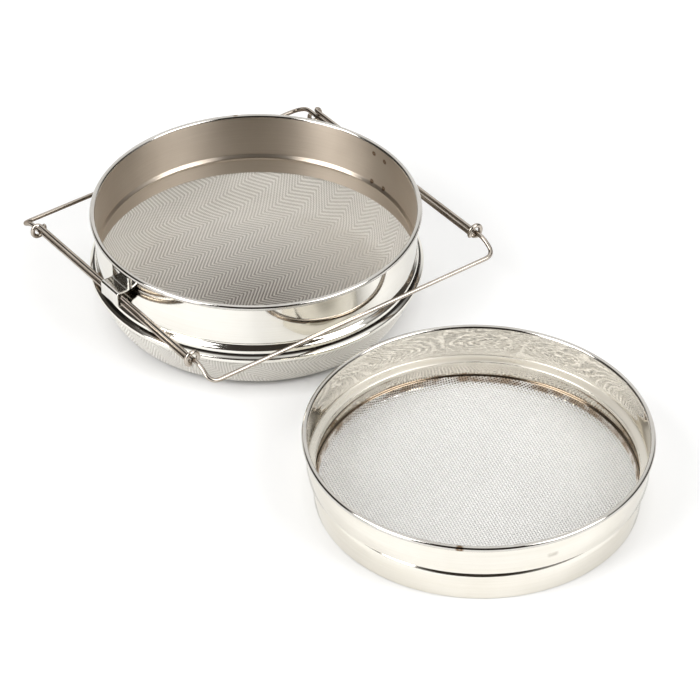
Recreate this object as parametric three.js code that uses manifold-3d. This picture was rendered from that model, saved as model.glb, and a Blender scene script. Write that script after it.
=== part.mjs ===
// Two-stage kitchen strainer: a lower sieve with a deep woven bowl and a sliding wire bracket,
// and an upper sieve with a flat woven floor that stands in front of it and stacks on its rim.
// Millimetres, +Z up. The lower sieve stands on the origin, and the bracket slides along Y.

import * as THREE from 'three';
import { mergeVertices } from 'three/addons/utils/BufferGeometryUtils.js';
import Module from 'manifold-3d';

const wasm = await Module();
wasm.setup();

// Sizes shared by both sieves
const rimDiameter = 240;
const rimCurl = 2;
const curlEnd = -110;
const wallSheet = 0.8;
const seatGap = 0.3;

// Lower sieve
const skirtHeight = 28;
const footStep = 1;
const footRise = 2.4;
const beadDepth = 2.2;
const beadDrop = 4;
const beadReach = 2.8;
const lowerWallHeight = 32;
const clampRise = 3.6;
const clampHeight = 5.2;
const clampDepth = 2.4;
const clampSheet = 1;
const clampSlope = 2.2;
const bowlSheet = 0.8;
const bowlKneeDrop = 0.5;
const bowlFlatRadius = 60;
const bowlRise = 1.2;
const bowlCornerRadius = 12.9;
const bowlCornerInset = 20.3;
const bowlSideAngle = 65.6;

// Sliding wire bracket
const wireDiameter = 3.2;
const legSpacing = 5;
const loopWallGap = 0.8;
const crossbarWallGap = 2.1;
const crossbarDrop = 7.5;
const loopSetback = 22.5;
const kneeSetback = 12.5;
const kneeReach = 5;
const cornerReach = 8;
const loopBend = 3.2;
const loopTurn = 300;

// Saddle clips
const clipLength = 20.6;
const clipSheet = 1.2;
const clipPlay = 0.8;
const clipTopFlange = 9.5;
const clipBottomFlange = 7.6;
const clipBeadOverlap = 1.2;
const clipChamfer = 0.8;

// Upper sieve
const upperHeight = 50.5;
const upperStepHeight = 23.4;
const upperStepRise = 2.5;
const nestGap = 3.8;
const hemSheet = 1.1;
const hemHeight = 4.4;
const netThickness = 1;
const netBarWidth = 1;
const netBand = 2.2;
const netGapsAcross = 15;
const hoopSheet = 1.2;
const hoopHeight = 5;
const standGap = 28.6;
const standShift = -7;

// Facets
const roundSegments = 64;
const wireSides = 8;
const loopSteps = 14;
const bendSteps = 4;
const curlSteps = 6;
const pressSteps = 3;
const coreSides = 6;

// Radii and heights worked out from the sizes above
const wireRadius = wireDiameter / 2;
const rimRadius = rimDiameter / 2 - rimCurl;
const wallRadius = rimRadius - rimCurl + wallSheet;
const wallInside = wallRadius - wallSheet;
const footRadius = wallRadius + footStep;
const beadRadius = wallRadius - beadDepth;
const bowlInside = footRadius + seatGap;
const bowlRadius = bowlInside + bowlSheet;
const bowlCornerStart = bowlRadius - bowlCornerInset;
const bowlKneeZ = skirtHeight - bowlKneeDrop;
const clampInside = bowlRadius + seatGap;
const clampRadius = clampInside + clampDepth;
const clampBottomZ = skirtHeight + clampRise;
const clampTopZ = clampBottomZ + clampHeight;
const bowlTopZ = clampTopZ - clampSheet - clampSlope / 2 - seatGap;
const footTopZ = clampTopZ + footRise;
const beadZ = footTopZ + beadDrop;
const beadTopZ = beadZ + beadReach;
const lowerRimZ = beadTopZ + lowerWallHeight;
const loopRadius = legSpacing;
const legOffset = wallRadius + loopWallGap + loopRadius + wireRadius;
const crossbarReach = wallRadius + crossbarWallGap + wireRadius;
const loopReach = crossbarReach - loopSetback;
const kneePlace = crossbarReach - kneeSetback;
const clipBottomZ = beadTopZ - clipBeadOverlap + clipBottomFlange;
const lowerLegZ = clipBottomZ + clipSheet + clipPlay + wireRadius;
const upperLegZ = lowerLegZ + legSpacing;
const slotBottomZ = lowerLegZ - wireRadius - clipPlay;
const slotTopZ = upperLegZ + wireRadius + clipPlay;
const upperRimZ = upperHeight - rimCurl;
const bandRadius = wallInside - nestGap;
const bandInside = bandRadius - wallSheet;
const netRadius = bandInside - seatGap;
const netZ = hemHeight + seatGap;
const hoopZ = netZ + netThickness + seatGap;

// Finishes
const polished = { color: 0xd9d6cf, roughness: 0.12, metalness: 1 };
const brushed = { color: 0xa89a8b, roughness: 0.34, metalness: 1 };
const woven = { color: 0xbdb7aa, roughness: 0.42, metalness: 1 };
const warmWire = { color: 0xb5a48e, roughness: 0.22, metalness: 1 };

function mesh(name, geometry, finish) {
  const result = new THREE.Mesh(geometry, new THREE.MeshStandardMaterial(finish));
  result.name = name;
  return result;
}

function weld(geometry) {
  geometry.deleteAttribute('normal');
  geometry.deleteAttribute('uv');
  const welded = mergeVertices(geometry, 1e-4);
  welded.computeVertexNormals();
  return welded;
}

function toSolid(geometry) {
  const welded = weld(geometry);
  const vertProperties = new Float32Array(welded.attributes.position.array);
  const triVerts = new Uint32Array(welded.index.array);
  return new wasm.Manifold(new wasm.Mesh({ numProp: 3, vertProperties, triVerts }));
}

function toGeometry(solid) {
  const data = solid.getMesh();
  const geometry = new THREE.BufferGeometry();
  geometry.setAttribute('position', new THREE.BufferAttribute(data.vertProperties, 3));
  geometry.setIndex(new THREE.BufferAttribute(data.triVerts, 1));
  geometry.computeVertexNormals();
  return geometry;
}

function point(radius, z) {
  return new THREE.Vector2(radius, z);
}

function arc(centreRadius, centreZ, radius, fromDegrees, toDegrees, steps) {
  const points = [];
  for (let i = 0; i <= steps; i += 1) {
    const angle = THREE.MathUtils.degToRad(fromDegrees + (toDegrees - fromDegrees) * i / steps);
    points.push(point(centreRadius + radius * Math.cos(angle), centreZ + radius * Math.sin(angle)));
  }
  return points;
}

// A soft S between two radii, as a pressed step in a wall has
function pressedStep(fromRadius, fromZ, toRadius, toZ) {
  const points = [];
  for (let i = 0; i <= pressSteps; i += 1) {
    const share = i / pressSteps;
    const ease = THREE.MathUtils.smoothstep(share, 0, 1);
    points.push(point(fromRadius + (toRadius - fromRadius) * ease, fromZ + (toZ - fromZ) * share));
  }
  return points;
}

// A profile that goes round counter-clockwise (radius to the right, Z up) gives faces that point out
function revolve(profile, closed = true) {
  const outline = THREE.ShapeUtils.isClockWise(profile) ? profile.slice().reverse() : profile.slice();
  if (closed) {
    outline.push(outline[0].clone());
  }
  const geometry = new THREE.LatheGeometry(outline, roundSegments);
  geometry.rotateX(Math.PI / 2);
  return weld(geometry);
}

// A round block with its axis along Z, centred on the origin
function drum(radius, height) {
  const geometry = new THREE.CylinderGeometry(radius, radius, height, roundSegments);
  geometry.rotateX(Math.PI / 2);
  return geometry;
}

// The rolled rim: out of the wall's inside, over the wire core and back towards the wall
function rimProfile(rimZ) {
  const outside = arc(rimRadius, rimZ, rimCurl, 180, curlEnd, curlSteps);
  const inside = arc(rimRadius, rimZ, rimCurl - wallSheet, curlEnd, 180, curlSteps);
  return [...outside, ...inside];
}

function rimCore(rimZ) {
  const coreRadius = rimCurl - wallSheet - seatGap;
  const profile = arc(rimRadius, rimZ, coreRadius, 0, 360, coreSides).slice(0, -1);
  return revolve(profile);
}

// The straight wall, the bead pressed into it and the foot that goes down inside the woven bowl
function lowerWall() {
  const foot = footRadius - wallSheet;
  const bead = beadRadius - wallSheet;
  return revolve([
    point(foot, skirtHeight),
    ...pressedStep(foot, footTopZ, bead, beadZ),
    ...pressedStep(bead, beadZ, wallInside, beadTopZ).slice(1),
    ...rimProfile(lowerRimZ),
    ...pressedStep(wallRadius, beadTopZ, beadRadius, beadZ),
    ...pressedStep(beadRadius, beadZ, footRadius, footTopZ).slice(1),
    point(footRadius, skirtHeight),
  ]);
}

// The hoop that grips the bowl's upright edge on the wall's foot
function clampRing() {
  const lipTop = clampBottomZ + clampSheet;
  const shoulder = clampTopZ - clampSlope;
  const mouth = footRadius + seatGap;
  return revolve([
    point(clampInside, clampBottomZ),
    point(clampRadius - clampSheet, clampBottomZ),
    point(clampRadius, lipTop),
    point(clampRadius, shoulder),
    point(mouth, clampTopZ),
    point(mouth, clampTopZ - clampSheet),
    point(clampRadius - clampSheet, shoulder - clampSheet),
    point(clampRadius - clampSheet, lipTop),
    point(clampInside, lipTop),
  ]);
}

// One face of the bowl from the middle outwards; inset moves it to the inside of the sheet
function bowlFace(inset) {
  const arcEnd = bowlSideAngle - 90;
  const corner = arc(
    bowlCornerStart, bowlRise + bowlCornerRadius, bowlCornerRadius - inset, -90, arcEnd, bendSteps,
  );
  const middle = (bowlFlatRadius + bowlCornerStart) / 2;
  return [
    point(0, inset),
    point(bowlFlatRadius, inset),
    point(middle, inset + bowlRise / 4),
    ...corner,
  ];
}

function lowerBowl() {
  const outside = bowlFace(0);
  const inside = bowlFace(bowlSheet).reverse();
  return revolve([
    ...outside,
    point(bowlRadius, bowlKneeZ),
    point(bowlRadius, bowlTopZ),
    point(bowlInside, bowlTopZ),
    point(bowlInside, bowlKneeZ),
    ...inside,
  ], false);
}

// A hat-shaped strip welded on the wall; both legs of one side run through it
function saddleClip() {
  const back = wallRadius - wallSheet;
  const flangeFace = wallRadius + seatGap + clipSheet;
  const slotFace = legOffset + wireRadius + clipPlay;
  const outerFace = slotFace + clipSheet;
  const hatTop = slotTopZ + clipSheet;
  const hatBottom = slotBottomZ - clipSheet;
  const outline = new THREE.Shape([
    point(back, hatBottom - clipBottomFlange),
    point(flangeFace, hatBottom - clipBottomFlange),
    point(flangeFace, hatBottom),
    point(outerFace - clipChamfer, hatBottom),
    point(outerFace, hatBottom + clipChamfer),
    point(outerFace, hatTop - clipChamfer),
    point(outerFace - clipChamfer, hatTop),
    point(flangeFace, hatTop),
    point(flangeFace, hatTop + clipTopFlange),
    point(back, hatTop + clipTopFlange),
    point(back, slotTopZ),
    point(slotFace, slotTopZ),
    point(slotFace, slotBottomZ),
    point(back, slotBottomZ),
  ]);
  const strip = new THREE.ExtrudeGeometry(outline, { depth: clipLength, bevelEnabled: false });
  strip.translate(0, 0, -clipLength / 2);
  strip.rotateX(Math.PI / 2);
  return toGeometry(toSolid(strip).subtract(toSolid(drum(wallRadius + seatGap, 2 * lowerRimZ))));
}

// A path through its own stations, so that bends get many steps and straights get one
class StationPath extends THREE.Curve {
  constructor(stations) {
    super();
    this.stations = stations;
  }

  getPoint(share, target = new THREE.Vector3()) {
    const place = share * (this.stations.length - 1);
    const index = Math.min(Math.floor(place), this.stations.length - 2);
    return target.lerpVectors(this.stations[index], this.stations[index + 1], place - index);
  }

  getPointAt(share, target) {
    return this.getPoint(share, target);
  }

  getTangentAt(share, target = new THREE.Vector3()) {
    const last = this.stations.length - 1;
    const index = Math.round(share * last);
    const before = this.stations[Math.max(index - 1, 0)];
    const here = this.stations[index];
    const after = this.stations[Math.min(index + 1, last)];
    const arriving = here.clone().sub(before).normalize();
    const leaving = after.clone().sub(here).normalize();
    return target.addVectors(arriving, leaving).normalize();
  }
}

function towards(from, to, distance) {
  return from.clone().add(to.clone().sub(from).setLength(distance));
}

// A rounded corner between two straights, with equal reach along both
function corner(before, at, after, reach) {
  const start = towards(at, before, reach);
  const end = towards(at, after, reach);
  return new THREE.QuadraticBezierCurve3(start, at, end).getPoints(bendSteps);
}

// The end of a leg: a loop round the other frame's leg, then a turn into the leg itself.
// side is the leg's side, rise is +1 where the loop's leg lies above the loop's centre and -1 below.
function legLoop(side, legZ, centreZ, rise, reach) {
  const bendAngle = loopBend / loopRadius;
  const turn = THREE.MathUtils.degToRad(loopTurn);
  const place = (angle) => new THREE.Vector3(
    side * (legOffset + loopRadius * Math.sin(angle)), reach, centreZ + rise * loopRadius * Math.cos(angle),
  );
  const stations = [];
  for (let i = 0; i <= loopSteps; i += 1) {
    stations.push(place(turn - (turn - bendAngle) * i / loopSteps));
  }
  const loopEnd = stations[stations.length - 1];
  const heading = new THREE.Vector3(-side * Math.cos(bendAngle), 0, rise * Math.sin(bendAngle));
  const legStart = new THREE.Vector3(side * legOffset, reach - loopBend, legZ);
  const bend = new THREE.CubicBezierCurve3(
    loopEnd,
    loopEnd.clone().addScaledVector(heading, loopBend / 2),
    legStart.clone().add(new THREE.Vector3(0, loopBend / 2, 0)),
    legStart,
  );
  return [...stations, ...bend.getPoints(bendSteps).slice(1)];
}

// Half of a frame, from the loop's free end to the middle of the crossbar, which lies at -Y
function frameSide(side, legZ, centreZ, rise) {
  const crossbarZ = legZ - crossbarDrop;
  const loop = legLoop(side, legZ, centreZ, rise, loopReach);
  const legStart = loop[loop.length - 1];
  const knee = new THREE.Vector3(side * legOffset, -kneePlace, legZ);
  const foot = new THREE.Vector3(side * legOffset, -crossbarReach, crossbarZ);
  const middle = new THREE.Vector3(0, -crossbarReach, crossbarZ);
  return [
    ...loop,
    ...corner(legStart, knee, foot, kneeReach),
    ...corner(knee, foot, middle, cornerReach),
  ];
}

function wireFrame(legZ, otherLegZ) {
  const rise = Math.sign(legZ - otherLegZ);
  const left = frameSide(-1, legZ, otherLegZ, rise);
  const right = frameSide(1, legZ, otherLegZ, rise).reverse();
  const stations = [...left, ...right];
  const section = new THREE.Shape();
  for (let i = 0; i < wireSides; i += 1) {
    const angle = 2 * Math.PI * (i + 0.5) / wireSides;
    const x = wireRadius * Math.cos(angle);
    const y = wireRadius * Math.sin(angle);
    if (i === 0) {
      section.moveTo(x, y);
    } else {
      section.lineTo(x, y);
    }
  }
  section.closePath();
  return weld(new THREE.ExtrudeGeometry(section, {
    steps: stations.length - 1,
    extrudePath: new StationPath(stations),
  }));
}

function upperWall() {
  const stepTop = upperStepHeight + upperStepRise;
  return revolve([
    point(bandInside - hemSheet, 0),
    point(bandInside - hemSheet, hemHeight),
    point(bandInside, hemHeight),
    ...pressedStep(bandInside, upperStepHeight, wallInside, stepTop),
    ...rimProfile(upperRimZ),
    ...pressedStep(wallRadius, stepTop, bandRadius, upperStepHeight),
    point(bandRadius, 0),
  ]);
}

// The flat net: a disc with square gaps between its bars, cut off where they meet the edge band
function upperNet() {
  const inner = netRadius - netBand;
  const pitch = 2 * inner / netGapsAcross;
  const half = (pitch - netBarWidth) / 2;
  const squares = [];
  for (let i = 0; i < netGapsAcross; i += 1) {
    for (let j = 0; j < netGapsAcross; j += 1) {
      const x = (i + 0.5) * pitch - inner;
      const y = (j + 0.5) * pitch - inner;
      const nearestCorner = Math.hypot(Math.abs(x) - half, Math.abs(y) - half);
      if (nearestCorner < inner - netBarWidth) {
        squares.push(new THREE.Shape([
          point(x - half, y - half),
          point(x + half, y - half),
          point(x + half, y + half),
          point(x - half, y + half),
        ]));
      }
    }
  }
  const depth = 2 * netThickness;
  const gaps = new THREE.ExtrudeGeometry(squares, { depth, bevelEnabled: false });
  gaps.translate(0, 0, -depth / 2);
  const openings = toSolid(gaps).intersect(toSolid(drum(inner, depth)));
  const net = toGeometry(toSolid(drum(netRadius, netThickness)).subtract(openings));
  net.translate(0, 0, netZ + netThickness / 2);
  return net;
}

function netHoop() {
  return revolve([
    point(netRadius - hoopSheet, hoopZ),
    point(netRadius, hoopZ),
    point(netRadius, hoopZ + hoopHeight),
    point(netRadius - hoopSheet, hoopZ + hoopHeight),
  ]);
}

function lowerSieve() {
  const group = new THREE.Group();
  const leftClip = mesh('left_clip', saddleClip(), polished);
  leftClip.rotation.z = Math.PI;
  group.add(
    mesh('lower_wall', lowerWall(), brushed),
    mesh('lower_rim_wire', rimCore(lowerRimZ), warmWire),
    mesh('lower_bowl_mesh', lowerBowl(), woven),
    mesh('lower_clamp_ring', clampRing(), polished),
    leftClip,
    mesh('right_clip', saddleClip(), polished),
  );
  return group;
}

function bracket() {
  const group = new THREE.Group();
  const rear = mesh('rear_frame', wireFrame(lowerLegZ, upperLegZ), warmWire);
  rear.rotation.z = Math.PI;
  group.add(mesh('front_frame', wireFrame(upperLegZ, lowerLegZ), warmWire), rear);
  return group;
}

function upperSieve() {
  const group = new THREE.Group();
  group.add(
    mesh('upper_wall', upperWall(), polished),
    mesh('upper_rim_wire', rimCore(upperRimZ), warmWire),
    mesh('upper_net', upperNet(), woven),
    mesh('upper_net_hoop', netHoop(), brushed),
  );
  group.position.set(standShift, -rimDiameter - standGap, 0);
  return group;
}

const strainer = new THREE.Group();
strainer.add(lowerSieve(), bracket(), upperSieve());

export default strainer;
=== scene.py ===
import math

import bpy
import numpy as np
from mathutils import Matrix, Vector


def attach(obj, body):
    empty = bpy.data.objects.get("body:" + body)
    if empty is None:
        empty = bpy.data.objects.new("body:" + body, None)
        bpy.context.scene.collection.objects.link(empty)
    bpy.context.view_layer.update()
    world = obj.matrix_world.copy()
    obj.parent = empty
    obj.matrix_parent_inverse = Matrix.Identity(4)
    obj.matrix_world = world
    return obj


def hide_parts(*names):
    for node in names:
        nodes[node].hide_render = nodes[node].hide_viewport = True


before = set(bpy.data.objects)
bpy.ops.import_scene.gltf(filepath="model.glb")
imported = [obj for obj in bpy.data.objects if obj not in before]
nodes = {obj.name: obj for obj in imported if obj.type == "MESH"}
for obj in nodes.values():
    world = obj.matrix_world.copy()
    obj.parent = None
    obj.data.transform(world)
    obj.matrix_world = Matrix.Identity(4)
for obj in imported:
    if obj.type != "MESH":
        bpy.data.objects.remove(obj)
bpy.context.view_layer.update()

MM = 0.001

# Sizes in millimetres, as in the part's source
RIM_RADIUS, RIM_CURL, SHEET = 118.0, 2.0, 0.8
WALL_OUT, WALL_IN = 116.8, 116.0
LOWER_RIM_Z = 78.0
SKIRT_Z, FOOT_OUT, FOOT_TOP = 28.0, 117.8, 39.2
BEAD_OUT, BEAD_Z, BEAD_TOP = 114.6, 43.2, 46.0
CLAMP_IN, CLAMP_OUT, CLAMP_BOTTOM, CLAMP_TOP, CLAMP_SLOPE = 119.2, 121.6, 31.6, 36.8, 2.2
BOWL_OUT, BOWL_TOP, BOWL_KNEE = 118.9, 34.4, 27.5
BOWL_FLAT, BOWL_RISE, BOWL_CORNER, BOWL_CORNER_RADIUS, BOWL_SIDE = 60.0, 1.2, 98.6, 12.9, 65.6
WIRE_RADIUS, LEG_SPACING, LEG_OFFSET = 1.6, 5.0, 124.2
CROSSBAR_REACH, CROSSBAR_DROP, LOOP_REACH, KNEE_PLACE = 120.5, 7.5, 98.0, 108.0
LOOP_BEND, LOOP_TURN, KNEE_BEND, CORNER_BEND = 3.2, 300, 5.0, 8.0
REAR_LEG_Z, FRONT_LEG_Z = 56.0, 61.0
CLIP_LENGTH, CLIP_SHEET, CLIP_FOOT, CLIP_FACE = 20.6, 1.2, 117.1, 126.6
CLIP_BOTTOM, CLIP_TOP, SLOT_BOTTOM, SLOT_TOP = 44.8, 74.1, 53.6, 63.4
UPPER_RIM_Z, UPPER_STEP, UPPER_STEP_TOP = 48.5, 23.4, 25.9
BAND_OUT, BAND_IN, HEM_SHEET, HEM_HEIGHT = 112.2, 111.4, 1.1, 4.4
UPPER_CENTRE = (-7.0, -268.6)

# Sizes of this scene's own: rings on the walls, edges, the fold under the step, the net and its hoop
FOOT_RING, LOWER_RING, BAND_RING, BAND_RING_OUT, UPPER_RING = 34.0, 60.0, 14.0, 12.0, 36.0
FOOT_EDGE, HEM_EDGE, HEM_FOOT, CLAMP_SHEET, CLAMP_PLAY = 0.25, 0.4, 0.3, 1.0, 0.3
BAND_FOOT = ((0.0, 0.6), (0.15, 0.2), (0.5, 0.0))  # inward, up
FOLD_OUT, FOLD_IN, FOLD_BOTTOM, FOLD_TOP = 1.75, 1.1, 15.0, 20.6
HOOP_IN, HOOP_OUT, HOOP_BOTTOM, HOOP_TOP = 109.95, 111.1, 6.0, 11.0
NET_Z, NET_BEND_PLACE, NET_BEND, NET_EDGE_TOP = 5.2, 107.9, 1.4, 11.5
AROUND = 256

# Woven wire, in millimetres: spacing along and across, then width, thickness and lift of one wire
BOWL_PITCHES, BOWL_WIRE = (0.862, 0.909), (0.81, 0.34, 0.17)
BOWL_LEAN, BOWL_COLUMN, BOWL_BANDS = 0.165, 16, 4
NET_PITCHES, NET_WIRE = (1.98, 1.98), (1.04, 0.72, 0.36)
NET_TURN, NET_BANDS = -16, 1
CUT_BACK = 0.05


# Meshes
def add_object(name, points, faces, materials, slots=None, smooth_angle=40, uv=None, uv_name="Path"):
    """A mesh object of faces with equal corner counts, from points in millimetres."""
    points = np.asarray(points, float) * MM
    faces = np.asarray(faces, np.int32)
    corners = faces.shape[1]
    mesh = bpy.data.meshes.new(name)
    mesh.vertices.add(len(points))
    mesh.vertices.foreach_set("co", points.astype(np.float32).ravel())
    mesh.loops.add(faces.size)
    mesh.loops.foreach_set("vertex_index", faces.ravel())
    mesh.polygons.add(len(faces))
    mesh.polygons.foreach_set("loop_start", np.arange(0, faces.size, corners, dtype=np.int32))
    mesh.polygons.foreach_set("use_smooth", np.ones(len(faces), bool))
    if slots is not None:
        mesh.polygons.foreach_set("material_index", np.asarray(slots, np.int32))
    mesh.update(calc_edges=True)
    if uv is not None:
        layer = mesh.uv_layers.new(name=uv_name)
        layer.uv.foreach_set("vector", np.asarray(uv, np.float32)[faces.ravel()].ravel())
    if smooth_angle:
        mesh.set_sharp_from_angle(angle=math.radians(smooth_angle))
    for item in materials:
        mesh.materials.append(item)
    made = bpy.data.objects.new(name, mesh)
    bpy.context.scene.collection.objects.link(made)
    return made


def unit(v):
    v = np.asarray(v, float)
    return v / np.linalg.norm(v)


def arc(r, z, radius, start, end, steps):
    angles = np.radians(np.linspace(start, end, steps + 1))
    return [(r + radius * math.cos(a), z + radius * math.sin(a)) for a in angles]


def press(r0, z0, r1, z1, steps=14):
    """A soft S between two radii, as a pressed step in a wall has."""
    shares = np.linspace(0, 1, steps + 1)
    return [(r0 + (r1 - r0) * s * s * (3 - 2 * s), z0 + (z1 - z0) * s) for s in shares]


def bezier(points, steps):
    points = [np.array(p, float) for p in points]
    out = []
    for s in np.linspace(0, 1, steps + 1):
        row = points
        while len(row) > 1:
            row = [(1 - s) * a + s * b for a, b in zip(row, row[1:])]
        out.append(row[0])
    return out


def bend(before, at, after, reach, steps=14):
    """A rounded corner between two straights, with equal reach along both."""
    before, at, after = (np.array(p, float) for p in (before, at, after))
    return bezier([at + unit(before - at) * reach, at, at + unit(after - at) * reach], steps)


def rounded(points, radius, steps=4, closed=True):
    """The outline with each sharp corner turned into a small arc."""
    points = [np.array(p, float) for p in points]
    count = len(points)
    out = []
    for i, at in enumerate(points):
        if not closed and i in (0, count - 1):
            out.append(at)
            continue
        before, after = points[i - 1], points[(i + 1) % count]
        reach = min(radius, np.linalg.norm(before - at) * 0.45, np.linalg.norm(after - at) * 0.45)
        out += bend(before, at, after, reach, steps)
    return out


def lathe(name, outline, materials, slot_of=None, centre=(0, 0)):
    """A closed ring whose section is outline, a list of (radius, height)."""
    outline = np.array(outline, float)
    after = np.roll(outline, -1, axis=0)
    if np.sum(outline[:, 0] * after[:, 1] - after[:, 0] * outline[:, 1]) < 0:
        outline = outline[::-1]
        after = np.roll(outline, -1, axis=0)
    rows = len(outline)
    angles = np.arange(AROUND) * 2 * math.pi / AROUND
    points = np.empty((AROUND, rows, 3))
    points[:, :, 0] = centre[0] + np.cos(angles)[:, None] * outline[None, :, 0]
    points[:, :, 1] = centre[1] + np.sin(angles)[:, None] * outline[None, :, 0]
    points[:, :, 2] = outline[None, :, 1]
    i, j = np.meshgrid(np.arange(AROUND), np.arange(rows), indexing="ij")
    k, m = (i + 1) % AROUND, (j + 1) % rows
    faces = np.stack([i * rows + j, k * rows + j, k * rows + m, i * rows + m], -1).reshape(-1, 4)
    slots = None
    if slot_of:
        middle = (outline + after) / 2
        each = [slot_of(r, z, up) for (r, z), up in zip(middle, after[:, 1] - outline[:, 1])]
        slots = np.tile(np.array(each), AROUND)
    return add_object(name, points.reshape(-1, 3), faces, materials, slots)


def rim_outline(z):
    """The rolled rim from the wall's inside over the top to its outside."""
    wall_side, free_end = 180, -110
    curl = arc(RIM_RADIUS, z, RIM_CURL, wall_side, free_end, 28)
    return curl + arc(RIM_RADIUS, z, RIM_CURL - SHEET, free_end, wall_side, 20)


def wall_slots(rim_z):
    """Slot 0 outside, 1 inside, 2 on the rolled rim."""

    def slot_of(r, z, up):
        if z > rim_z - RIM_CURL and r > WALL_IN + 0.02:
            return 2
        return 1 if up < 0 else 0

    return slot_of


def tube(name, path, material, radius=WIRE_RADIUS, sides=16):
    """A round wire along path, with softened cut ends and a map of its length and turn."""
    path = np.array(path, float)
    keep = np.ones(len(path), bool)
    keep[1:] = np.linalg.norm(np.diff(path, axis=0), axis=1) > 1e-4
    path = path[keep]
    last = len(path) - 1
    step = np.diff(path, axis=0)
    step /= np.linalg.norm(step, axis=1)[:, None]
    tangent = np.concatenate([step[:1], step[:-1] + step[1:], step[-1:]])
    tangent /= np.linalg.norm(tangent, axis=1)[:, None]
    side = unit(np.cross(tangent[0], (0.3, 0.2, 0.9)))
    sides_at = []
    for along in tangent:
        side = unit(side - along * np.dot(side, along))
        sides_at.append(side)
    ends = ((0.0, 0.6), (0.2, 0.88), (0.5, 1.0))  # how far in, share of the radius
    stations = [(path[0] + tangent[0] * inward, scale, 0) for inward, scale in ends]
    stations += [(path[i], 1.0, i) for i in range(1, last)]
    stations += [(path[last] - tangent[last] * inward, scale, last) for inward, scale in reversed(ends)]
    angles = np.arange(sides) * 2 * math.pi / sides
    points, uv, length = [], [], 0.0
    previous = stations[0][0]
    for place, scale, index in stations:
        length += np.linalg.norm(place - previous)
        previous = place
        across = np.cross(tangent[index], sides_at[index])
        for a in angles:
            points.append(place + radius * scale * (math.cos(a) * sides_at[index] + math.sin(a) * across))
            uv.append((length * MM, a / (2 * math.pi)))
    rows = len(stations)
    faces = []
    for i in range(rows - 1):
        for j in range(sides):
            k = (j + 1) % sides
            faces.append((i * sides + j, i * sides + k, (i + 1) * sides + k, (i + 1) * sides + j))
    start, end, top = len(points), len(points) + 1, (rows - 1) * sides
    points += [stations[0][0], stations[-1][0]]
    uv += [(0, 0.5), (length * MM, 0.5)]
    for j in range(0, sides, 2):
        k, m = j + 1, (j + 2) % sides
        faces.append((start, m, k, j))
        faces.append((end, top + j, top + k, top + m))
    return add_object(name, points, faces, [material], uv=uv, smooth_angle=50)


def by_length(path, samples):
    """A section (radius, height) as three rows: length from its start, radius, height."""
    path = np.array(path)
    length = np.concatenate([[0], np.cumsum(np.linalg.norm(np.diff(path, axis=0), axis=1))])
    fine = np.linspace(0, length[-1], samples)
    return fine, np.interp(fine, length, path[:, 0]), np.interp(fine, length, path[:, 1])


def laid_on(section, centre=(0, 0), turn=0.0, lean=0.0):
    """Where a point of flat cloth, at (u, v) and h above its middle, comes to lie on a round form.
    The wires along v lean over by lean of their length."""
    length, r, z = section
    slope = np.stack([np.gradient(r), np.gradient(z)], 1)
    slope /= np.linalg.norm(slope, axis=1)[:, None]

    def place(u, v, h):
        u = u + lean * v
        rho = np.hypot(u, v)
        angle = np.arctan2(v, u) + math.radians(turn)
        out = np.interp(rho, length, r) - h * np.interp(rho, length, slope[:, 1])
        up = np.interp(rho, length, z) + h * np.interp(rho, length, slope[:, 0])
        return np.stack([centre[0] + out * np.cos(angle), centre[1] + out * np.sin(angle), up], -1)

    return place


def wire_runs(family, pitches, lean, reach, over, lift, half_steps):
    """Each wire of one family as (its place across, places along, heights), in a round cut of cloth."""
    runs = []
    step, apart = pitches if family == 0 else pitches[::-1]
    stretch = 1 + family * lean ** 2
    half = int(reach * math.sqrt(stretch) / apart)
    for j in range(-half, half + 1):
        fixed = j * apart
        middle = -lean * fixed / stretch
        room = (reach ** 2 * stretch - fixed ** 2) / stretch ** 2
        if room < (4 * step) ** 2:
            continue
        low, high = middle - math.sqrt(room), middle + math.sqrt(room)
        i = np.arange(math.ceil(low / step + 0.1), math.floor(high / step - 0.1) + 1)
        on_top = over(i, j) if family == 0 else ~over(np.full_like(i, j), i)
        height = np.where(on_top, lift, -lift)
        along = i * step
        if half_steps:
            along = np.insert(along, np.arange(1, len(along)), (along[1:] + along[:-1]) / 2)
            height = np.insert(height, np.arange(1, len(height)), (height[1:] + height[:-1]) / 2)
        runs.append((fixed, np.concatenate([[low], along, [high]]), np.concatenate([[0], height, [0]])))
    return runs


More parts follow.
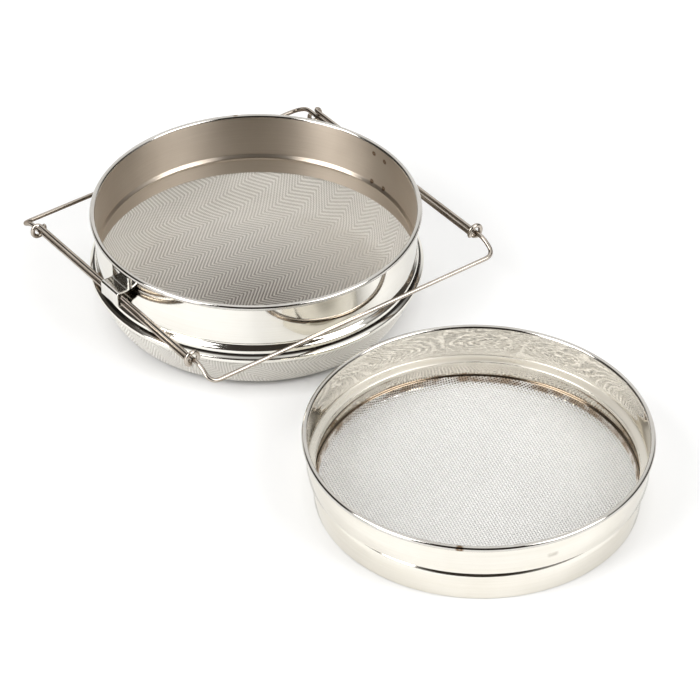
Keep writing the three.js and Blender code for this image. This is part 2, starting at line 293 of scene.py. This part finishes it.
def cloth(name, pitches, lean, reach, place, over, wire_size, materials, bands, half_steps=False):
    """Woven wire cloth of real wires: wires along u and along v that pass over and under each other.
    place(u, v, h) lays flat cloth on its form; over(i, j) says where the wire along u is on top."""
    pieces = []
    width, thick, lift = wire_size
    section = ((width / 2, 0), (0, thick / 2), (-width / 2, 0), (0, -thick / 2))
    for family, material in enumerate(materials):
        runs = wire_runs(family, pitches, lean, reach, over, lift, half_steps)
        sizes = np.cumsum([len(along) for fixed, along, height in runs])
        band_of = np.minimum((sizes - 1) * bands // sizes[-1], bands - 1)
        for band in range(bands):
            points, faces, base = [], [], 0
            for (fixed, along, height), belongs in zip(runs, band_of):
                if belongs != band:
                    continue
                count = len(along)
                ring = np.empty((count, 4, 3))
                for corner, (aside, above) in enumerate(section):
                    if family == 0:
                        ring[:, corner] = place(along, np.full(count, fixed + aside), height + above)
                    else:
                        ring[:, corner] = place(np.full(count, fixed - aside), along, height + above)
                points.append(ring.reshape(-1, 3))
                a = (base + np.arange(count - 1) * 4)[:, None] + np.arange(4)[None, :]
                b = (base + np.arange(count - 1) * 4)[:, None] + np.roll(np.arange(4), -1)[None, :]
                faces.append(np.stack([a, b, b + 4, a + 4], -1).reshape(-1, 4))
                last = base + (count - 1) * 4
                faces.append(np.array([
                    [base + 3, base + 2, base + 1, base], [last, last + 1, last + 2, last + 3],
                ]))
                base += count * 4
            points = np.concatenate(points)
            low, high = points[:, :2].min(0), points[:, :2].max(0)
            margin = 0.02
            flat = margin + (1 - 2 * margin) * (points[:, :2] - low) / (high - low)
            pieces.append(add_object(
                f"{name}_{'xy'[family]}{band + 1}", points, np.concatenate(faces), [material],
                smooth_angle=0, uv=flat, uv_name="OFBake",
            ))
    return pieces


# Materials
class Nodes:
    """A node tree, emptied, with short ways to add nodes."""

    def __init__(self, owner):
        owner.use_nodes = True
        self.tree = owner.node_tree
        self.tree.nodes.clear()
        self.coords = self.add("ShaderNodeTexCoord")

    def add(self, kind, **settings):
        node = self.tree.nodes.new(kind)
        for key, value in settings.items():
            setattr(node, key, value)
        return node

    def link(self, source, target):
        self.tree.links.new(source, target)

    def ramp(self, value, stops):
        node = self.add("ShaderNodeValToRGB")
        while len(node.color_ramp.elements) < len(stops):
            node.color_ramp.elements.new(0.5)
        for element, (place, colour) in zip(node.color_ramp.elements, stops):
            element.position = place
            element.color = (*colour, 1)
        self.link(value, node.inputs["Fac"])
        return node.outputs["Color"]

    def range(self, value, low, high, to_low, to_high, **settings):
        node = self.add("ShaderNodeMapRange", **settings)
        limits = (("From Min", low), ("From Max", high), ("To Min", to_low), ("To Max", to_high))
        for name, number in limits:
            node.inputs[name].default_value = number
        self.link(value, node.inputs["Value"])
        return node.outputs["Result"]

    def math(self, operation, a, b):
        node = self.add("ShaderNodeMath", operation=operation)
        for socket, value in zip(node.inputs, (a, b)):
            if isinstance(value, (int, float)):
                socket.default_value = value
            else:
                self.link(value, socket)
        return node.outputs["Value"]

    def mix(self, factor, a, b):
        node = self.add("ShaderNodeMix", data_type="RGBA")
        self.link(factor, node.inputs["Factor"])
        for name, value in (("A", a), ("B", b)):
            socket = [s for s in node.inputs if s.name == name and s.type == "RGBA"][0]
            if isinstance(value, tuple):
                socket.default_value = (*value, 1)
            else:
                self.link(value, socket)
        return [s for s in node.outputs if s.type == "RGBA"][0]


class Finish(Nodes):
    """A procedural material with one Principled shader."""

    def __init__(self, name):
        self.material = bpy.data.materials.new(name)
        super().__init__(self.material)
        self.shader = self.add("ShaderNodeBsdfPrincipled")
        output = self.add("ShaderNodeOutputMaterial")
        self.link(self.shader.outputs["BSDF"], output.inputs["Surface"])

    def set(self, **values):
        for key, value in values.items():
            self.shader.inputs[key.replace("_", " ")].default_value = value

    def paint(self, share, colour):
        """Lay a colour over the base colour."""
        self.colour = self.mix(share, self.colour, colour)
        self.link(self.colour, self.shader.inputs["Base Color"])

    def stretched(self, scale, source=None):
        mapping = self.add("ShaderNodeMapping")
        mapping.inputs["Scale"].default_value = scale
        self.link(source or self.coords.outputs["Object"], mapping.inputs["Vector"])
        return mapping.outputs["Vector"]

    def noise(self, vector, detail=3.0):
        node = self.add("ShaderNodeTexNoise")
        node.inputs["Scale"].default_value = 1.0
        node.inputs["Detail"].default_value = detail
        node.inputs["Roughness"].default_value = 0.55
        self.link(vector, node.inputs["Vector"])
        return node.outputs["Fac"]

    def bump(self, height, strength, distance, normal=None):
        node = self.add("ShaderNodeBump")
        node.inputs["Strength"].default_value = strength
        node.inputs["Distance"].default_value = distance
        self.link(height, node.inputs["Height"])
        if normal:
            self.link(normal, node.inputs["Normal"])
        return node.outputs["Normal"]

    def height(self):
        node = self.add("ShaderNodeSeparateXYZ")
        self.link(self.coords.outputs["Object"], node.inputs["Vector"])
        return node.outputs["Z"]

    def spot(self, place, reach, core=0):
        """1 within core of a place, falling to 0 at reach from it, in millimetres."""
        node = self.add("ShaderNodeVectorMath", operation="DISTANCE")
        self.link(self.coords.outputs["Object"], node.inputs[0])
        node.inputs[1].default_value = [v * MM for v in place]
        return self.range(node.outputs["Value"], core * MM, reach * MM, 1, 0)

    def away_from(self, z):
        """Distance from a height in millimetres, up or down."""
        return self.math("ABSOLUTE", self.math("SUBTRACT", self.height(), z * MM), 0.0)


GRAIN_DEPTH, DENT_DEPTH, INNER_DENT_DEPTH = 0.00005, 0.0006, 0.0005


def steel(name, light, dark, roughness, grain, grain_bump, sway=None, anisotropy=0.0, metallic=1.0):
    """Stainless steel. grain is the stretch of its brush lines; sway holds the stretch, the strength
    and the depth of slow dents."""
    finish = Finish(name)
    lines = finish.noise(finish.stretched(grain), detail=4)
    clouds = finish.noise(finish.stretched((18, 18, 18)), detail=5)
    both = finish.math("ADD", finish.math("MULTIPLY", lines, 0.4), finish.math("MULTIPLY", clouds, 0.6))
    finish.colour = finish.ramp(both, [(0.36, dark), (0.64, light)])
    finish.link(finish.colour, finish.shader.inputs["Base Color"])
    finish.roughness = finish.range(both, 0.3, 0.7, *roughness)
    finish.link(finish.roughness, finish.shader.inputs["Roughness"])
    finish.normal = finish.bump(lines, grain_bump, GRAIN_DEPTH)
    if sway:
        stretch, strength, depth = sway
        slow = finish.noise(finish.stretched(stretch), detail=2)
        finish.normal = finish.bump(slow, strength, depth, finish.normal)
    finish.link(finish.normal, finish.shader.inputs["Normal"])
    finish.set(Metallic=metallic)
    if anisotropy:
        finish.set(Anisotropic=anisotropy, Anisotropic_Rotation=0.25)
        tangent = finish.add("ShaderNodeTangent", direction_type="RADIAL", axis="Z")
        finish.link(tangent.outputs["Tangent"], finish.shader.inputs["Tangent"])
    return finish


def on_wall(angle, z, radius, centre=(0, 0)):
    """A place on a round wall."""
    a = math.radians(angle)
    return (centre[0] + radius * math.cos(a), centre[1] + radius * math.sin(a), z)


def tint(finish, spots, colour, reach):
    """Heat tint in rings round the places where the sheet was welded."""
    shares = ((0.0, 0.0), (0.3, 0.55), (0.5, 1.0), (0.75, 0.8), (1.0, 0.25))
    for place in spots:
        near = finish.spot(place, reach)
        ring = finish.ramp(near, [(at, (share,) * 3) for at, share in shares])
        finish.paint(ring, colour)


def dent(finish, place, reach, depth):
    """A shallow knock in the sheet, with a scuff in it."""
    near = finish.spot(place, reach)
    finish.normal = finish.bump(finish.math("MULTIPLY", near, -1.0), 1.0, depth, finish.normal)
    finish.link(finish.normal, finish.shader.inputs["Normal"])
    scuff = finish.math("MULTIPLY", near, finish.noise(finish.stretched((160, 160, 500)), detail=4))
    finish.paint(scuff, (0.36, 0.32, 0.26))


mirror = steel(
    "mirror_sheet", (0.96, 0.94, 0.885), (0.90, 0.87, 0.80), (0.05, 0.10), (14, 14, 900), 0.04,
    sway=((22, 22, 30), 0.10, DENT_DEPTH),
)
cream = steel(
    "cream_sheet", (0.93, 0.90, 0.83), (0.85, 0.815, 0.73), (0.06, 0.12), (14, 14, 500), 0.05,
    sway=((22, 22, 30), 0.12, DENT_DEPTH),
)
satin = steel(
    "satin_sheet", (0.61, 0.535, 0.45), (0.54, 0.465, 0.385), (0.46, 0.54), (16, 16, 1500), 0.05,
    sway=((22, 22, 12), 0.05, DENT_DEPTH), anisotropy=0.85,
)
inner = steel(
    "inner_sheet", (0.87, 0.83, 0.75), (0.80, 0.755, 0.67), (0.015, 0.045), (14, 14, 900), 0.04,
    sway=((60, 60, 160), 0.16, INNER_DENT_DEPTH),
)
rim = steel("rolled_rim", (0.74, 0.715, 0.675), (0.60, 0.575, 0.535), (0.06, 0.13), (60, 60, 600), 0.08)
clip = steel(
    "clip_sheet", (0.86, 0.84, 0.80), (0.76, 0.74, 0.695), (0.06, 0.13), (30, 500, 30), 0.08,
    sway=((22, 22, 30), 0.08, DENT_DEPTH),
)
hoop_steel = steel("hoop_sheet", (0.44, 0.37, 0.30), (0.32, 0.26, 0.205), (0.14, 0.24), (60, 60, 600), 0.08)
core = steel("core_wire", (0.72, 0.66, 0.58), (0.60, 0.54, 0.47), (0.15, 0.25), (80, 80, 80), 0.05)


def cloth_wire(name, light, dark, roughness, metallic):
    """Fine wire of a cloth, too thin to show a direction in its grain."""
    return steel(name, light, dark, roughness, (160, 160, 160), 0.05, metallic=metallic)


# The weft is painted darker than the warp: lit and shaded copies of one wire, painted shade for light that
# falls differently on the two families
warp = cloth_wire("bowl_warp", (1.0, 0.985, 0.945), (0.97, 0.95, 0.905), (0.56, 0.66), 0.55)
weft = cloth_wire("bowl_weft", (0.77, 0.745, 0.695), (0.69, 0.665, 0.615), (0.56, 0.66), 0.55)
# A lit copy and a slightly darker shaded copy of one net wire
net_lit = cloth_wire("net_lit", (1.0, 0.995, 0.98), (0.97, 0.965, 0.945), (0.38, 0.48), 0.05)
net_shaded = cloth_wire("net_shaded", (1.0, 0.99, 0.975), (0.96, 0.95, 0.935), (0.38, 0.48), 0.05)


# Where the cloth gets painted shade: place, reach and core in millimetres
NET_MIDDLE_SHADE = ((*UPPER_CENTRE, 5), 105, 35)
BOWL_PAINTED_SHADE = ((-14, -20, 0), 118, 25)


def shade_weave(finish, middle_shade=None):
    """Painted shade on the net's wires: darker where they dip under and, with middle_shade, in the middle
    of the net.
    Its turned-up edge gets painted brown shade in patches."""
    z = finish.height()
    if middle_shade:
        # painted shade in the middle of the net
        finish.paint(finish.spot(*NET_MIDDLE_SHADE), middle_shade)
    # painted shade where the wires dip under the others
    finish.paint(finish.range(z, 5.0 * MM, 4.5 * MM, 0, 1), (0.36, 0.35, 0.34))
    cloudy = finish.noise(finish.stretched((70, 70, 70)), detail=4)
    patches = finish.range(cloudy, 0.40, 0.58, 0.30, 1.0)
    turned_up = finish.range(z, 6.0 * MM, 7.5 * MM, 0, 1)
    # painted brown shade in patches on the turned-up edge
    finish.paint(finish.math("MULTIPLY", turned_up, patches), (0.40, 0.31, 0.225))


def paint_bowl_shade(finish, colour):
    """Painted shade on the flat of the bowl, for the front wall's shadow, most of all towards its front."""
    flat = finish.range(finish.height(), 1.5 * MM, 5.0 * MM, 1, 0)
    finish.paint(finish.math("MULTIPLY", finish.spot(*BOWL_PAINTED_SHADE), flat), colour)


def pressed_finish(finish, z, reach, share):
    """Where the sheet was pressed, its roughness is share of what it is elsewhere."""
    change = finish.range(finish.away_from(z), 0.4 * reach * MM, reach * MM, share, 1.0)
    finish.link(finish.math("MULTIPLY", finish.roughness, change), finish.shader.inputs["Roughness"])


def paint_crease_shade(finish, z, reach):
    """A painted dark line of shade along a fold or between two pieces."""
    share = finish.range(finish.away_from(z), 0.5 * reach * MM, reach * MM, 1, 0)
    # painted shade: a near-black line along the crease
    finish.paint(share, (0.05, 0.043, 0.037))


# Painted shade on both families of net wires, and in the middle of the net on the shaded copy
shade_weave(net_lit)
shade_weave(net_shaded, (0.86, 0.85, 0.83))
# Painted shade on the bowl's flat, darker on the weft than on the warp
paint_bowl_shade(warp, (0.64, 0.61, 0.565))
paint_bowl_shade(weft, (0.27, 0.25, 0.225))
# Painted shade lines at the clamp ring's top and just under the bead
paint_crease_shade(mirror, CLAMP_TOP - 0.1, 1.0)
paint_crease_shade(mirror, BEAD_TOP - 0.9, 0.6)
pressed_finish(satin, BEAD_Z, 3.6, 0.58)
pressed_finish(inner, (UPPER_STEP + UPPER_STEP_TOP) / 2, 4.0, 10.0)

# Spot welds of each clip as angle and height, the rims' butt welds, and a knock in the upper wall
CLIP_WELDS = ((5.8, 72.0), (-0.2, 70.9), (6.8, 46.1), (0.3, 46.4))
RIM_WELD_RADIUS, RIM_WELD_UP = RIM_RADIUS + 1.4, 0.6
KNOCK_ANGLES, KNOCK_Z, KNOCK_REACH, KNOCK_DEPTH = (-104.6, -103.4, -102.4), 34.8, 2.4, 0.0002
tint(
    satin, [on_wall(base + a, z, WALL_IN) for base in (0, 180) for a, z in CLIP_WELDS],
    (0.16, 0.09, 0.045), 2.4,
)
tint(rim, [
    on_wall(-134.3, UPPER_RIM_Z + RIM_WELD_UP, RIM_WELD_RADIUS, UPPER_CENTRE),
    on_wall(62, LOWER_RIM_Z + RIM_WELD_UP, RIM_WELD_RADIUS),
], (0.20, 0.12, 0.06), 3.4)
for angle in KNOCK_ANGLES:
    dent(cream, on_wall(angle, KNOCK_Z, WALL_OUT, UPPER_CENTRE), KNOCK_REACH, KNOCK_DEPTH)


def drawn_wire():
    """Bright drawn wire with fine lines along its length, with painted brown shade on the side that faces
    the sieve.
    """
    finish = Finish("drawn_wire")
    uv = finish.add("ShaderNodeUVMap", uv_map="Path")
    lines = finish.noise(finish.stretched((25, 26, 1), uv.outputs["UV"]), detail=4)
    stain = finish.noise(finish.stretched((40, 40, 40)), detail=4)
    both = finish.math("ADD", finish.math("MULTIPLY", lines, 0.5), finish.math("MULTIPLY", stain, 0.5))
    finish.colour = finish.ramp(both, [(0.34, (0.42, 0.37, 0.315)), (0.62, (0.67, 0.61, 0.545))])
    # painted shade on the side of the wire that faces the sieve
    facing = finish.add("ShaderNodeVectorMath", operation="DOT_PRODUCT")
    finish.link(finish.coords.outputs["Object"], facing.inputs[0])
    finish.link(finish.coords.outputs["Normal"], facing.inputs[1])
    inside = finish.range(facing.outputs["Value"], 0.02, -0.09, 0, 0.85)
    finish.paint(inside, (0.15, 0.115, 0.085))
    finish.link(finish.range(both, 0.3, 0.7, 0.13, 0.24), finish.shader.inputs["Roughness"])
    finish.link(finish.bump(lines, 0.10, 0.00004), finish.shader.inputs["Normal"])
    finish.set(Metallic=1.0, Specular_Tint=(0.35, 0.30, 0.26, 1))
    return finish


wire = drawn_wire()

# Lower sieve
lower_wall = lathe(
    "lower_wall_sheet",
    [(FOOT_OUT - SHEET, SKIRT_Z + FOOT_EDGE), (FOOT_OUT - SHEET, FOOT_RING)]
    + press(FOOT_OUT - SHEET, FOOT_TOP, BEAD_OUT - SHEET, BEAD_Z)
    + press(BEAD_OUT - SHEET, BEAD_Z, WALL_IN, BEAD_TOP)[1:]
    + [(WALL_IN, LOWER_RING)]
    + rim_outline(LOWER_RIM_Z)
    + [(WALL_OUT, LOWER_RING)]
    + press(WALL_OUT, BEAD_TOP, BEAD_OUT, BEAD_Z)
    + press(BEAD_OUT, BEAD_Z, FOOT_OUT, FOOT_TOP)[1:]
    + [(FOOT_OUT, FOOT_RING), (FOOT_OUT, SKIRT_Z + FOOT_EDGE)]
    + [(FOOT_OUT - FOOT_EDGE, SKIRT_Z), (FOOT_OUT - SHEET + FOOT_EDGE, SKIRT_Z)],
    [mirror.material, satin.material, rim.material],
    wall_slots(LOWER_RIM_Z),
)
clamp = lathe(
    "clamp_ring_sheet",
    rounded([
        (CLAMP_IN, CLAMP_BOTTOM), (CLAMP_OUT, CLAMP_BOTTOM), (CLAMP_OUT, CLAMP_TOP - CLAMP_SLOPE),
        (FOOT_OUT + CLAMP_PLAY, CLAMP_TOP), (FOOT_OUT + CLAMP_PLAY, CLAMP_TOP - CLAMP_SHEET),
        (CLAMP_OUT - CLAMP_SHEET, CLAMP_TOP - CLAMP_SLOPE - CLAMP_SHEET),
        (CLAMP_OUT - CLAMP_SHEET, CLAMP_BOTTOM + CLAMP_SHEET), (CLAMP_IN, CLAMP_BOTTOM + CLAMP_SHEET),
    ], 1.0, 6),
    [mirror.material],
)


def bowl_section():
    """The middle of the bowl's cloth, softened where it turns."""
    middle, inset, below_top = 0.42, 0.4, 0.1
    corner_z = BOWL_RISE + BOWL_CORNER_RADIUS
    path = [(0.0, middle), (BOWL_FLAT, middle), ((BOWL_FLAT + BOWL_CORNER) / 2, middle + BOWL_RISE / 4)]
    path += arc(BOWL_CORNER, corner_z, BOWL_CORNER_RADIUS - inset, -90, BOWL_SIDE - 90, 16)
    path += [(BOWL_OUT - inset, BOWL_KNEE), (BOWL_OUT - inset, BOWL_TOP - below_top)]
    length, r, z = by_length(path, 600)
    window = 15
    soft = np.ones(window) / window
    inside = slice(window // 2, len(length) - window // 2)
    r[inside], z[inside] = np.convolve(r, soft, mode="valid"), np.convolve(z, soft, mode="valid")
    return length, r, z


def herringbone(i, j):
    """Two over, two under, with the diagonal turning back at each column."""
    along = np.mod(j + BOWL_COLUMN // 2, 2 * BOWL_COLUMN)
    shift = np.where(along < BOWL_COLUMN, along, 2 * BOWL_COLUMN - 1 - along)
    return np.mod(i - shift, 4) < 2


def plain_weave(i, j):
    return np.mod(i + j, 2) == 0


section = bowl_section()
bowl = cloth(
    "bowl_cloth", BOWL_PITCHES, BOWL_LEAN, section[0][-1] - CUT_BACK, laid_on(section, lean=BOWL_LEAN),
    herringbone, BOWL_WIRE, (warp.material, weft.material), BOWL_BANDS,
)


def saddle(name, side):
    """A strip bent into a hat over the two legs, its feet following the wall."""
    half = CLIP_SHEET / 2
    foot, face = CLIP_FOOT + half, CLIP_FACE + half
    bottom, top = SLOT_BOTTOM - half, SLOT_TOP + half
    path = np.array(rounded([
        (foot, CLIP_BOTTOM), (foot, bottom), (face, bottom), (face, top), (foot, top), (foot, CLIP_TOP),
    ], 1.7, 7, closed=False))
    along = np.gradient(path, axis=0)
    along /= np.linalg.norm(along, axis=1)[:, None]
    normal = np.stack([along[:, 1], -along[:, 0]], 1)
    edge, soften, end, inner_end = 0.3, 0.1, -CLIP_LENGTH / 2, -9
    stations = [(end, half - edge), (end + soften, half - soften), (end + edge, half)]
    stations += [(y, half) for y in np.linspace(inner_end, -inner_end, 13)]
    stations += [(-y, thick) for y, thick in reversed(stations[:3])]
    points = []
    for y, thick in stations:
        drop = CLIP_FOOT - math.sqrt(CLIP_FOOT ** 2 - y * y)
        for r, z in np.concatenate([path - normal * thick, (path + normal * thick)[::-1]]):
            share = np.clip((LEG_OFFSET - r) / (LEG_OFFSET - WALL_OUT), 0, 1)
            points.append((side * (r - drop * share), side * y, z))
    count = 2 * len(path)
    faces = []
    for i in range(len(stations) - 1):
        for j in range(count):
            k = (j + 1) % count
            faces.append((i * count + j, i * count + k, (i + 1) * count + k, (i + 1) * count + j))
    last = (len(stations) - 1) * count
    for j in range(len(path) - 1):
        faces.append((count - 1 - j, count - 2 - j, j + 1, j))
        faces.append((last + j, last + j + 1, last + count - 2 - j, last + count - 1 - j))
    return add_object(name, points, faces, [clip.material], smooth_angle=35)


clips = [saddle("left_clip_sheet", -1), saddle("right_clip_sheet", 1)]


# Sliding wire bracket
def frame_side(side, leg_z, centre_z, rise):
    """Half of a frame, from the loop's free end to the middle of the crossbar."""
    first, last = math.radians(LOOP_TURN), LOOP_BEND / LEG_SPACING
    stations = []
    for angle in np.linspace(first, last, 49):
        stations.append(np.array((
            side * (LEG_OFFSET + LEG_SPACING * math.sin(angle)), LOOP_REACH,
            centre_z + rise * LEG_SPACING * math.cos(angle),
        )))
    heading = np.array((-side * math.cos(last), 0, rise * math.sin(last)))
    leg_start = np.array((side * LEG_OFFSET, LOOP_REACH - LOOP_BEND, leg_z))
    stations += bezier([
        stations[-1], stations[-1] + heading * LOOP_BEND / 2,
        leg_start + np.array((0, LOOP_BEND / 2, 0)), leg_start,
    ], 12)[1:]
    bar_z = leg_z - CROSSBAR_DROP
    knee = np.array((side * LEG_OFFSET, -KNEE_PLACE, leg_z))
    foot = (side * LEG_OFFSET, -CROSSBAR_REACH, bar_z)
    middle = (0, -CROSSBAR_REACH, bar_z)
    for share in np.linspace(0, 1, 24)[1:-1]:
        stations.append(leg_start + (knee + np.array((0, KNEE_BEND, 0)) - leg_start) * share)
    stations += bend(leg_start, knee, foot, KNEE_BEND)
    stations += bend(knee, foot, middle, CORNER_BEND)
    for share in np.linspace(0, 1, 14)[1:]:
        stations.append(np.array((side * (LEG_OFFSET - CORNER_BEND) * (1 - share), -CROSSBAR_REACH, bar_z)))
    return stations


def bracket_path(leg_z, other_z, turned):
    """Both halves of a frame, its loops round the other frame's legs."""
    rise = 1 if leg_z > other_z else -1
    left, right = (frame_side(side, leg_z, other_z, rise) for side in (-1, 1))
    path = np.array(left[:-1] + right[::-1])
    if turned:
        path[:, :2] *= -1
    return path


front = tube("front_wire_frame", bracket_path(FRONT_LEG_Z, REAR_LEG_Z, False), wire.material)
rear = tube("rear_wire_frame", bracket_path(REAR_LEG_Z, FRONT_LEG_Z, True), wire.material)


# Upper sieve
def shoulder(radius, depth):
    """The band under the step draws in towards the fold, most at its top."""
    shares = np.linspace(0, 1, 13)
    return [(radius - depth * s * s, FOLD_BOTTOM + (FOLD_TOP - FOLD_BOTTOM) * s) for s in shares]


upper_wall = lathe(
    "upper_wall_sheet",
    [(BAND_IN - HEM_SHEET + HEM_FOOT, 0.0), (BAND_IN - HEM_SHEET, HEM_EDGE)]
    + [(BAND_IN - HEM_SHEET, HEM_HEIGHT - HEM_EDGE), (BAND_IN - HEM_SHEET + HEM_EDGE, HEM_HEIGHT)]
    + [(BAND_IN, HEM_HEIGHT), (BAND_IN, BAND_RING)]
    + shoulder(BAND_IN, FOLD_IN)
    + press(BAND_IN - FOLD_IN, UPPER_STEP, WALL_IN, UPPER_STEP_TOP)
    + [(WALL_IN, UPPER_RING)]
    + rim_outline(UPPER_RIM_Z)
    + [(WALL_OUT, UPPER_RING)]
    + press(WALL_OUT, UPPER_STEP_TOP, BAND_OUT - FOLD_OUT, UPPER_STEP)
    + shoulder(BAND_OUT, FOLD_OUT)[::-1]
    + [(BAND_OUT, BAND_RING_OUT)]
    + [(BAND_OUT - inward, up) for inward, up in BAND_FOOT],
    [cream.material, inner.material, rim.material],
    wall_slots(UPPER_RIM_Z),
    UPPER_CENTRE,
)
hoop = lathe(
    "net_hoop_sheet",
    rounded([
        (HOOP_IN, HOOP_BOTTOM), (HOOP_OUT, HOOP_BOTTOM), (HOOP_OUT, HOOP_TOP), (HOOP_IN, HOOP_TOP),
    ], 0.35, 4),
    [hoop_steel.material],
    centre=UPPER_CENTRE,
)
section = by_length(
    [(0.0, NET_Z), (NET_BEND_PLACE, NET_Z)]
    + arc(NET_BEND_PLACE, NET_Z + NET_BEND, NET_BEND, -90, 0, 8)
    + [(NET_BEND_PLACE + NET_BEND, NET_EDGE_TOP)],
    900,
)
screen = cloth(
    "net_wires", NET_PITCHES, 0.0, section[0][-1] - CUT_BACK, laid_on(section, UPPER_CENTRE, NET_TURN),
    plain_weave, NET_WIRE, (net_shaded.material, net_lit.material), NET_BANDS, half_steps=True,
)

# Riding on the bodies, standing for the nodes
stands_for = [(made, "lower_bowl_mesh", "woven_wire", "lower_sieve") for made in bowl]
stands_for += [(made, "upper_net", "woven_wire", "upper_sieve") for made in screen]
stands_for += [
    (lower_wall, "lower_wall", "brushed_wall", "lower_sieve"),
    (clamp, "lower_clamp_ring", "polished_wall", "lower_sieve"),
    (clips[0], "left_clip", "polished_wall", "lower_sieve"),
    (clips[1], "right_clip", "polished_wall", "lower_sieve"),
    (front, "front_frame", "wire", "front_frame"),
    (rear, "rear_frame", "wire", "rear_frame"),
    (upper_wall, "upper_wall", "polished_wall", "upper_sieve"),
    (hoop, "upper_net_hoop", "brushed_wall", "upper_sieve"),
]
for made, node, slot, body in stands_for:
    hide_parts(node)
    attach(made, body)
for name in ("lower_rim_wire", "upper_rim_wire"):
    nodes[name].data.materials.clear()
    nodes[name].data.materials.append(core.material)


# Stage
SEEN_GLOW, FAR_GLOW, MIRRORED_GLOW = 0.22, 0.95, 0.13
TABLE_Z, TABLE_REACH, TABLE_NEAR, TABLE_FAR = -0.3, 4000, 600, 3200
TABLE_MIDDLE = (0, -134, TABLE_Z)
UNDER_SIEVE, BESIDE_SIEVE = 100, 124


def white_table():
    """White table. A part of its white is its own, most far away, where the lamps don't reach, and none
    under the sieves, so that it keeps their shadows."""
    finish = Finish("white_table")
    tone = finish.noise(finish.stretched((3, 3, 3)))
    white = finish.ramp(tone, [(0.3, (0.79,) * 3), (0.7, (0.81,) * 3)])
    finish.link(white, finish.shader.inputs["Base Color"])
    finish.set(Roughness=1.0, Specular_IOR_Level=0.0, Emission_Color=(1, 1, 1, 1))
    rays = finish.add("ShaderNodeLightPath")
    near = finish.spot(TABLE_MIDDLE, TABLE_FAR, TABLE_NEAR)
    strength = finish.range(near, 0, 1, FAR_GLOW, SEEN_GLOW)
    seen = finish.math("MULTIPLY", rays.outputs["Is Camera Ray"], strength)
    mirrored = finish.math("MULTIPLY", rays.outputs["Is Glossy Ray"], MIRRORED_GLOW)
    glow = finish.math("ADD", seen, mirrored)
    for centre in ((0, 0), UPPER_CENTRE):
        under = finish.spot((*centre, TABLE_Z), BESIDE_SIEVE, UNDER_SIEVE)
        glow = finish.math("MULTIPLY", glow, finish.math("SUBTRACT", 1.0, under))
    finish.link(glow, finish.shader.inputs["Emission Strength"])
    return finish


floor = add_object(
    "table",
    [(x * TABLE_REACH, y * TABLE_REACH, TABLE_Z) for x, y in ((-1, -1), (1, -1), (1, 1), (-1, 1))],
    [(0, 1, 2, 3)], [white_table().material], smooth_angle=0,
)


def heading(azimuth, elevation):
    """A direction seen from the part, from angles in degrees."""
    a, e = math.radians(azimuth), math.radians(elevation)
    return Vector((math.cos(e) * math.cos(a), math.cos(e) * math.sin(a), math.sin(e)))


# The room's tone from the horizon up to above
ROOM_TONES = (
    (0.0, (0.34, 0.33, 0.32)), (0.10, (0.20, 0.195, 0.19)), (0.40, (0.20, 0.195, 0.19)),
    (0.56, (0.36, 0.355, 0.35)), (0.8, (0.95, 0.95, 0.94)),
)

# What the metal mirrors: azimuth, elevation, full and outer half angle in degrees, colour
PATCHES = (
    (55, 8, 30, 55, (0.90, 0.90, 0.89)),
    (-128, 34, 32, 50, (0.035, 0.03, 0.026)),
    (128, 26, 16, 38, (0.05, 0.045, 0.04)),
    (-14, 16, 12, 28, (0.05, 0.045, 0.04)),
)


def studio():
    """White to the camera; else a pale room with a white backdrop, and a dark side that the table is
    seen from."""
    world = bpy.data.worlds.new("studio")
    bpy.context.scene.world = world
    room = Nodes(world)
    split = room.add("ShaderNodeSeparateXYZ")
    room.link(room.coords.outputs["Generated"], split.inputs["Vector"])
    colour = room.ramp(split.outputs["Z"], ROOM_TONES)
    for azimuth, elevation, full, outer, patch in PATCHES:
        towards = room.add("ShaderNodeVectorMath", operation="DOT_PRODUCT")
        room.link(room.coords.outputs["Generated"], towards.inputs[0])
        towards.inputs[1].default_value = heading(azimuth, elevation)
        edges = [math.cos(math.radians(angle)) for angle in (outer, full)]
        share = room.range(towards.outputs["Value"], *edges, 0, 1, interpolation_type="SMOOTHSTEP")
        colour = room.mix(share, colour, patch)
    seen = room.add("ShaderNodeLightPath")
    back = room.add("ShaderNodeBackground")
    room.link(room.mix(seen.outputs["Is Camera Ray"], colour, (1, 1, 1)), back.inputs["Color"])
    output = room.add("ShaderNodeOutputWorld")
    room.link(back.outputs["Background"], output.inputs["Surface"])


studio()

# Square lamps: azimuth, elevation, size in metres, watts
LAMPS = {
    "key_light": (173, 40, 1.9, 64),
    "fill_light": (-66, 40, 1.9, 55),
    "low_light": (-175, 13, 1.2, 16),
}
LAMP_DISTANCE, LAMP_TARGET = 3.2, Vector((0, -0.13, 0))
for name, (azimuth, elevation, size, watts) in LAMPS.items():
    data = bpy.data.lights.new(name, "AREA")
    data.shape = "SQUARE"
    data.size = size
    data.energy = watts
    lamp = bpy.data.objects.new(name, data)
    lamp.location = LAMP_TARGET + heading(azimuth, elevation) * LAMP_DISTANCE
    lamp.rotation_euler = (-heading(azimuth, elevation)).to_track_quat("-Z", "Y").to_euler()
    bpy.context.scene.collection.objects.link(lamp)

# The photograph's view, in metres and radians
CAMERA_PLACE = (-1.169915, -1.684301, 1.552458)
CAMERA_DOWN, CAMERA_TURN = 0.6639174, math.radians(-36.678798)
camera_data = bpy.data.cameras.new("camera")
camera_data.sensor_width = 36
camera_data.lens = 180
camera_data.clip_start, camera_data.clip_end = 0.05, 50
camera = bpy.data.objects.new("camera", camera_data)
camera.location = CAMERA_PLACE
camera.rotation_euler = (math.pi / 2 - CAMERA_DOWN, 0, CAMERA_TURN)
bpy.context.scene.collection.objects.link(camera)
bpy.context.scene.camera = camera
bpy.context.scene.view_settings.view_transform = "Standard"
